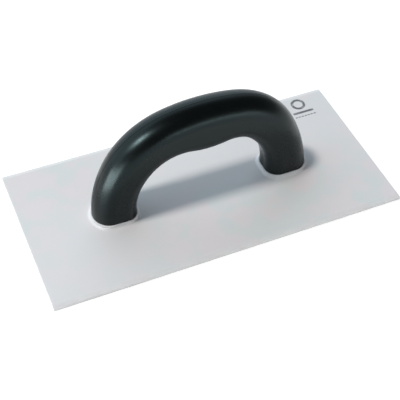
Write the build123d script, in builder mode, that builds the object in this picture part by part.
"""Plastic finishing trowel: a rigid smoothing blade with a hollow two-shell bow grip screwed to it from below.

The frame stands on the working face: +Z is up, +X runs along the blade towards the steep front end
of the grip, +Y is the user's left, and the origin is the centre of the working face. Millimetres.
"""

import os

from build123d import *

# Smoothing blade
BLADE_LENGTH = 270.0
BLADE_WIDTH = 130.0
BLADE_THICKNESS = 3.0
BLADE_BEVEL_WIDTH = 3.0
BLADE_BEVEL_DROP = 0.5
BLADE_CORNER_RADIUS = 0.8
BLADE_EDGE_RADIUS = 0.3

# Raised bosses on the back of the blade, one under each foot of the grip
BOSS_HEIGHT = 3.0
BOSS_LAND = 0.8
BOSS_FLARE_RADIUS = 2.2
BOSS_EDGE_RADIUS = 0.4
SPIGOT_RADIUS = 6.5
SPIGOT_HEIGHT = 2.5

# Bow grip, outside
GRIP_LENGTH = 170.4
GRIP_RISE = 84.0
GRIP_WIDTH = 27.4
GRIP_BACK_FLAT = 1.0
GRIP_PALM_FLAT = 6.6
REAR_FOOT_LENGTH = 32.6
FRONT_FOOT_LENGTH = 33.9
HAND_GAP_RISE = 46.6

# Bow grip, inside
SHELL_WALL = 3.0
TONGUE_INSET = 1.0
TONGUE_WIDTH = 1.0
TONGUE_HEIGHT = 1.4
SEAM_RELIEF_WIDTH = 0.3
SEAM_RELIEF_DEPTH = 0.35
RIB_THICKNESS = 2.0
POST_RADIUS = 4.0
PIN_RADIUS = 1.6
PIN_LENGTH = 4.0
HOUSING_WALL = 3.0
SOLE_THICKNESS = 6.0

# Fasteners, M5
SCREW_RADIUS = 2.5
SCREW_LENGTH = 20.0
SCREW_HEAD_RADIUS = 4.7
SCREW_HEAD_RIM = 0.3
SCREW_TIP_CHAMFER = 0.6
RECESS_SPAN = 4.6
RECESS_SLOT = 1.1
RECESS_DEPTH = 2.0
NUT_ACROSS_FLATS = 8.0
NUT_HEIGHT = 4.0
NUT_CHAMFER = 0.4
WASHER_RADIUS = 5.0
WASHER_THICKNESS = 1.0
PLUG_RADIUS = 5.6
PLUG_THICKNESS = 1.3
PLUG_EDGE_RADIUS = 0.15

# Clearances between pieces
TONGUE_CLEARANCE = 0.1
RIB_CLEARANCE = 0.1
PIN_CLEARANCE = 0.1
SPIGOT_CLEARANCE = 0.15
SCREW_HOLE_CLEARANCE = 0.25
THREAD_CLEARANCE = 0.03
HEAD_CLEARANCE = 0.1
NUT_CLEARANCE = 0.1
PLUG_CLEARANCE = 0.02
TIP_CLEARANCE = 2.0

# The grip's side view: the ends of its arcs as shares of half the length and of the rise above the feet,
# rear foot first, and the direction in which the first arc sets off
BACK_ARC_ENDS = [(-1.0, 0.0), (-0.879, 0.523), (-0.332, 0.963), (0.297, 0.972), (0.82, 0.58), (1.0, 0.0)]
BACK_START_ANGLE = 89.7
PALM_ARC_ENDS = [(-1.0, 0.0), (-0.716, 0.843), (-0.23, 0.997), (0.293, 1.008), (0.66, 0.903), (1.0, 0.0)]
PALM_START_ANGLE = 95.6
# Ribs and joining posts inside the grip, as shares of the way along it from the rear foot
RIB_SHARES = (0.19, 0.34, 0.42, 0.58, 0.66, 0.81)
POST_SHARES = (0.265, 0.5, 0.735)
# How far the legs are drawn on past the seat before the feet are cut level
FOOT_OVERRUN = 2.0

# Places that several pieces share
SEAT_Z = BLADE_THICKNESS + BOSS_HEIGHT
REAR_END_X = -GRIP_LENGTH / 2
FRONT_END_X = GRIP_LENGTH / 2
GAP_REAR_X = REAR_END_X + REAR_FOOT_LENGTH
GAP_FRONT_X = FRONT_END_X - FRONT_FOOT_LENGTH
GRIP_BACK_FILLET = (GRIP_WIDTH - GRIP_BACK_FLAT) / 2
GRIP_PALM_FILLET = (GRIP_WIDTH - GRIP_PALM_FLAT) / 2
SCREW_X = {"rear": (REAR_END_X + GAP_REAR_X) / 2, "front": (FRONT_END_X + GAP_FRONT_X) / 2}
HEAD_Z = PLUG_THICKNESS
CONE_Z = HEAD_Z + SCREW_HEAD_RIM
CONE_HEIGHT = SCREW_HEAD_RADIUS - SCREW_RADIUS
SHANK_Z = CONE_Z + CONE_HEIGHT
TIP_Z = HEAD_Z + SCREW_LENGTH
WASHER_Z = SEAT_Z + SOLE_THICKNESS
NUT_Z = WASHER_Z + WASHER_THICKNESS
HOUSING_TOP_Z = TIP_Z + TIP_CLEARANCE + HOUSING_WALL
SCREW_HOLE_RADIUS = SCREW_RADIUS + SCREW_HOLE_CLEARANCE
NUT_RADIUS = NUT_ACROSS_FLATS / 3**0.5
HOUSING_LENGTH = 2 * (NUT_RADIUS + HOUSING_WALL)
UPRIGHT = (Align.CENTER, Align.CENTER, Align.MIN)
HANGING = (Align.CENTER, Align.CENTER, Align.MAX)


def arc_chain(arc_ends, start_x, end_x, rise, start_angle):
    """A chain of arcs between shared ends, each running on smoothly from the last, as x and height."""
    middle = (start_x + end_x) / 2
    half_length = (end_x - start_x) / 2
    points = [Vector(middle + x * half_length, SEAT_Z + height * rise) for x, height in arc_ends]
    direction = Vector(1, 0).rotate(Axis.Z, start_angle)
    arcs = []
    for start, end in zip(points, points[1:]):
        arcs.append(TangentArc(start, end, tangent=direction))
        direction = arcs[-1] % 1
    return arcs


BACK = arc_chain(BACK_ARC_ENDS, REAR_END_X, FRONT_END_X, GRIP_RISE, BACK_START_ANGLE)
PALM = arc_chain(PALM_ARC_ENDS, GAP_REAR_X, GAP_FRONT_X, HAND_GAP_RISE, PALM_START_ANGLE)


def moved_in(arcs, inset, turn):
    """A chain of arcs moved sideways by an inset, at a turn from its own direction to the grip's inside."""
    moved = []
    for arc in arcs:
        points = [arc @ share + (arc % share).rotate(Axis.Z, turn) * inset for share in (0, 0.5, 1)]
        moved.append(ThreePointArc(*points))
    return moved


def grip_outline(inset):
    """The grip's side view, x and height on a flat sketch, drawn in by an inset all round."""
    with BuildSketch() as outline:
        with BuildLine():
            back = moved_in(BACK, inset, -90)
            palm = moved_in(PALM, inset, 90)
            rear_back_foot = back[0] @ 0 - (back[0] % 0) * FOOT_OVERRUN
            rear_palm_foot = palm[0] @ 0 - (palm[0] % 0) * FOOT_OVERRUN
            Polyline(back[0] @ 0, rear_back_foot, rear_palm_foot, palm[0] @ 0)
            front_back_foot = back[-1] @ 1 + (back[-1] % 1) * FOOT_OVERRUN
            front_palm_foot = palm[-1] @ 1 + (palm[-1] % 1) * FOOT_OVERRUN
            Polyline(back[-1] @ 1, front_back_foot, front_palm_foot, palm[-1] @ 1)
        make_face()
        with Locations((0, SEAT_Z + inset)):
            Rectangle(2 * GRIP_LENGTH, 2 * GRIP_RISE, align=(Align.CENTER, Align.MIN), mode=Mode.INTERSECT)
    return outline.sketch


def rounded_grip(inset):
    """The grip's rounded body, drawn in by an inset all round: its outside at 0, its hollow at the wall."""
    half_width = GRIP_WIDTH / 2 - inset
    hand_gap_centre = (0, 0, SEAT_Z)
    with BuildPart() as body:
        with BuildSketch(Plane.XZ.offset(-half_width)):
            add(grip_outline(inset))
        extrude(amount=2 * half_width)
        arcs = body.edges().filter_by(GeomType.CIRCLE).sort_by_distance(hand_gap_centre)
        fillet(arcs[: 2 * len(PALM)], GRIP_PALM_FILLET - inset)
        arcs = body.edges().filter_by(GeomType.CIRCLE).sort_by_distance(hand_gap_centre)
        fillet(arcs[-2 * len(BACK) :], GRIP_BACK_FILLET - inset)
    return body.part


def seam_band(outer_inset, inner_inset, start, end):
    """A band along the grip's outline between two insets, from one distance right of the seam to another."""
    with BuildPart() as band:
        with BuildSketch(Plane.XZ.offset(start)):
            add(grip_outline(outer_inset))
            add(grip_outline(inner_inset), mode=Mode.SUBTRACT)
        extrude(amount=end - start)
    return band.part


def across(share):
    """A plane across the grip at a share of its way: X from palm to back, Z to the user's left."""
    back = Wire(BACK) @ share
    palm = Wire(PALM) @ share
    middle = (back + palm) / 2
    return Plane((middle.X, 0, middle.Y), x_dir=(back.X - palm.X, 0, back.Y - palm.Y), z_dir=(0, 1, 0))


def grip_hollow():
    """The space inside the grip, less the ribs, joining posts and screw housings that stand in it."""
    with BuildPart() as hollow:
        add(rounded_grip(SHELL_WALL))
        for share in RIB_SHARES:
            plane = across(share)
            with Locations(plane.offset(RIB_CLEARANCE / 2)):
                Box(GRIP_RISE, RIB_THICKNESS, GRIP_WIDTH, align=UPRIGHT, mode=Mode.SUBTRACT)
            with Locations(plane.offset(-RIB_CLEARANCE / 2)):
                Box(GRIP_RISE, RIB_THICKNESS, GRIP_WIDTH, align=HANGING, mode=Mode.SUBTRACT)
        for share in POST_SHARES:
            with Locations(across(share)):
                Cylinder(POST_RADIUS, GRIP_WIDTH, mode=Mode.SUBTRACT)
        for x in SCREW_X.values():
            with Locations((x, 0, SEAT_Z)):
                Box(HOUSING_LENGTH, GRIP_WIDTH, HOUSING_TOP_Z - SEAT_Z, align=UPRIGHT, mode=Mode.SUBTRACT)
    return hollow.part


def screw_spaces():
    """The spaces for the spigot, screw, washer and captive nut in both feet of the grip."""
    with BuildPart() as spaces:
        for x in SCREW_X.values():
            with Locations((x, 0, SEAT_Z)):
                Cylinder(SPIGOT_RADIUS + SPIGOT_CLEARANCE, SPIGOT_HEIGHT + SPIGOT_CLEARANCE, align=UPRIGHT)
                Cylinder(SCREW_HOLE_RADIUS, TIP_Z + TIP_CLEARANCE - SEAT_Z, align=UPRIGHT)
            with Locations((x, 0, WASHER_Z)):
                Cylinder(WASHER_RADIUS + NUT_CLEARANCE, WASHER_THICKNESS, align=UPRIGHT)
            with BuildSketch(Plane.XY.offset(NUT_Z)):
                with Locations((x, 0)):
                    RegularPolygon(NUT_RADIUS + NUT_CLEARANCE, 6)
            extrude(amount=NUT_HEIGHT + NUT_CLEARANCE)
    return spaces.part


GRIP_BODY = rounded_grip(0)
GRIP_HOLLOW = grip_hollow()
SCREW_SPACES = screw_spaces()


with BuildPart() as grip_shell_right:
    add(GRIP_BODY)
    add(GRIP_HOLLOW, mode=Mode.SUBTRACT)
    split(bisect_by=Plane.XZ, keep=Keep.TOP)
    groove_outer = TONGUE_INSET - TONGUE_CLEARANCE
    groove_inner = TONGUE_INSET + TONGUE_WIDTH + TONGUE_CLEARANCE
    add(seam_band(groove_outer, groove_inner, 0, TONGUE_HEIGHT + TONGUE_CLEARANCE), mode=Mode.SUBTRACT)
    add(seam_band(-SEAM_RELIEF_DEPTH, SEAM_RELIEF_DEPTH, 0, SEAM_RELIEF_WIDTH / 2), mode=Mode.SUBTRACT)
    for share in POST_SHARES:
        with Locations(across(share)):
            Cylinder(PIN_RADIUS + PIN_CLEARANCE, PIN_LENGTH + PIN_CLEARANCE, align=HANGING, mode=Mode.SUBTRACT)
    add(SCREW_SPACES, mode=Mode.SUBTRACT)

with BuildPart() as grip_shell_left:
    add(GRIP_BODY)
    add(GRIP_HOLLOW, mode=Mode.SUBTRACT)
    split(bisect_by=Plane.XZ, keep=Keep.BOTTOM)
    add(seam_band(TONGUE_INSET, TONGUE_INSET + TONGUE_WIDTH, -TONGUE_HEIGHT, TONGUE_HEIGHT))
    add(seam_band(-SEAM_RELIEF_DEPTH, SEAM_RELIEF_DEPTH, -SEAM_RELIEF_WIDTH / 2, 0), mode=Mode.SUBTRACT)
    for share in POST_SHARES:
        with Locations(across(share)):
            Cylinder(PIN_RADIUS, 2 * PIN_LENGTH)
    add(SCREW_SPACES, mode=Mode.SUBTRACT)

with BuildPart() as trowel_blade:
    with BuildSketch(Plane.YZ):
        with BuildLine():
            Polyline(
                (-BLADE_WIDTH / 2, 0),
                (BLADE_WIDTH / 2, 0),
                (BLADE_WIDTH / 2, BLADE_THICKNESS - BLADE_BEVEL_DROP),
                (BLADE_WIDTH / 2 - BLADE_BEVEL_WIDTH, BLADE_THICKNESS),
                (BLADE_BEVEL_WIDTH - BLADE_WIDTH / 2, BLADE_THICKNESS),
                (-BLADE_WIDTH / 2, BLADE_THICKNESS - BLADE_BEVEL_DROP),
                close=True,
            )
        make_face()
    extrude(amount=BLADE_LENGTH / 2, both=True)
    fillet(trowel_blade.edges().filter_by(Axis.Z), BLADE_CORNER_RADIUS)
    fillet(trowel_blade.edges() - trowel_blade.edges().filter_by(Axis.Z), BLADE_EDGE_RADIUS)
    for x, length, out in (
        (SCREW_X["rear"], REAR_FOOT_LENGTH, Axis((0, 0, 0), (-1, 0, 0))),
        (SCREW_X["front"], FRONT_FOOT_LENGTH, Axis((0, 0, 0), (1, 0, 0))),
    ):
        with BuildSketch(Plane.XY.offset(BLADE_THICKNESS)) as boss_plan:
            with Locations((x, 0)):
                Rectangle(length, GRIP_WIDTH)
            fillet(boss_plan.vertices().group_by(out)[0], GRIP_PALM_FILLET)
            fillet(boss_plan.vertices().group_by(out)[-1], GRIP_BACK_FILLET)
            offset(amount=BOSS_LAND)
        extrude(amount=BOSS_HEIGHT)
        fillet(trowel_blade.edges(Select.LAST).group_by(Axis.Z)[0], BOSS_FLARE_RADIUS)
    fillet(trowel_blade.faces().sort_by(Axis.Z)[-2:].edges(), BOSS_EDGE_RADIUS)
    for x in SCREW_X.values():
        with Locations((x, 0, SEAT_Z)):
            Cylinder(SPIGOT_RADIUS, SPIGOT_HEIGHT, align=UPRIGHT)
        with Locations((x, 0, 0)):
            Cylinder(SCREW_HOLE_RADIUS, SEAT_Z + SPIGOT_HEIGHT, align=UPRIGHT, mode=Mode.SUBTRACT)
            Cylinder(PLUG_RADIUS + PLUG_CLEARANCE, PLUG_THICKNESS, align=UPRIGHT, mode=Mode.SUBTRACT)
            Cylinder(SCREW_HEAD_RADIUS + HEAD_CLEARANCE, CONE_Z, align=UPRIGHT, mode=Mode.SUBTRACT)
        with Locations((x, 0, CONE_Z)):
            Cone(SCREW_HEAD_RADIUS, SCREW_RADIUS, CONE_HEIGHT, align=UPRIGHT, mode=Mode.SUBTRACT)

PIECES = {
    "trowel_blade": trowel_blade.part,
    "grip_shell_right": grip_shell_right.part,
    "grip_shell_left": grip_shell_left.part,
}

for foot, x in SCREW_X.items():
    with BuildPart() as blade_screw:
        with Locations((x, 0, HEAD_Z)):
            Cylinder(SCREW_HEAD_RADIUS, SCREW_HEAD_RIM, align=UPRIGHT)
        with Locations((x, 0, CONE_Z)):
            Cone(SCREW_HEAD_RADIUS, SCREW_RADIUS, CONE_HEIGHT, align=UPRIGHT)
        with Locations((x, 0, SHANK_Z)):
            Cylinder(SCREW_RADIUS, TIP_Z - SHANK_Z, align=UPRIGHT)
        chamfer(blade_screw.edges().group_by(Axis.Z)[-1], SCREW_TIP_CHAMFER)
        with Locations((x, 0, HEAD_Z)):
            Box(RECESS_SPAN, RECESS_SLOT, RECESS_DEPTH, align=UPRIGHT, mode=Mode.SUBTRACT)
            Box(RECESS_SLOT, RECESS_SPAN, RECESS_DEPTH, align=UPRIGHT, mode=Mode.SUBTRACT)

    with BuildPart() as captive_nut:
        with BuildSketch(Plane.XY.offset(NUT_Z)):
            with Locations((x, 0)):
                RegularPolygon(NUT_RADIUS, 6)
        extrude(amount=NUT_HEIGHT)
        chamfer(captive_nut.faces().filter_by(Axis.Z).edges(), NUT_CHAMFER)
        with Locations((x, 0, NUT_Z)):
            Cylinder(SCREW_RADIUS + THREAD_CLEARANCE, NUT_HEIGHT, align=UPRIGHT, mode=Mode.SUBTRACT)

    with BuildPart() as nut_washer:
        with Locations((x, 0, WASHER_Z)):
            Cylinder(WASHER_RADIUS, WASHER_THICKNESS, align=UPRIGHT)
            Cylinder(SCREW_HOLE_RADIUS, WASHER_THICKNESS, align=UPRIGHT, mode=Mode.SUBTRACT)

    with BuildPart() as screw_plug:
        with Locations((x, 0, 0)):
            Cylinder(PLUG_RADIUS, PLUG_THICKNESS, align=UPRIGHT)
        fillet(screw_plug.edges().group_by(Axis.Z)[0], PLUG_EDGE_RADIUS)

    PIECES[f"{foot}_blade_screw"] = blade_screw.part
    PIECES[f"{foot}_captive_nut"] = captive_nut.part
    PIECES[f"{foot}_nut_washer"] = nut_washer.part
    PIECES[f"{foot}_screw_plug"] = screw_plug.part

os.makedirs("parts", exist_ok=True)
for name, piece in PIECES.items():
    piece.label = name
    export_step(piece, f"parts/{name}.step")
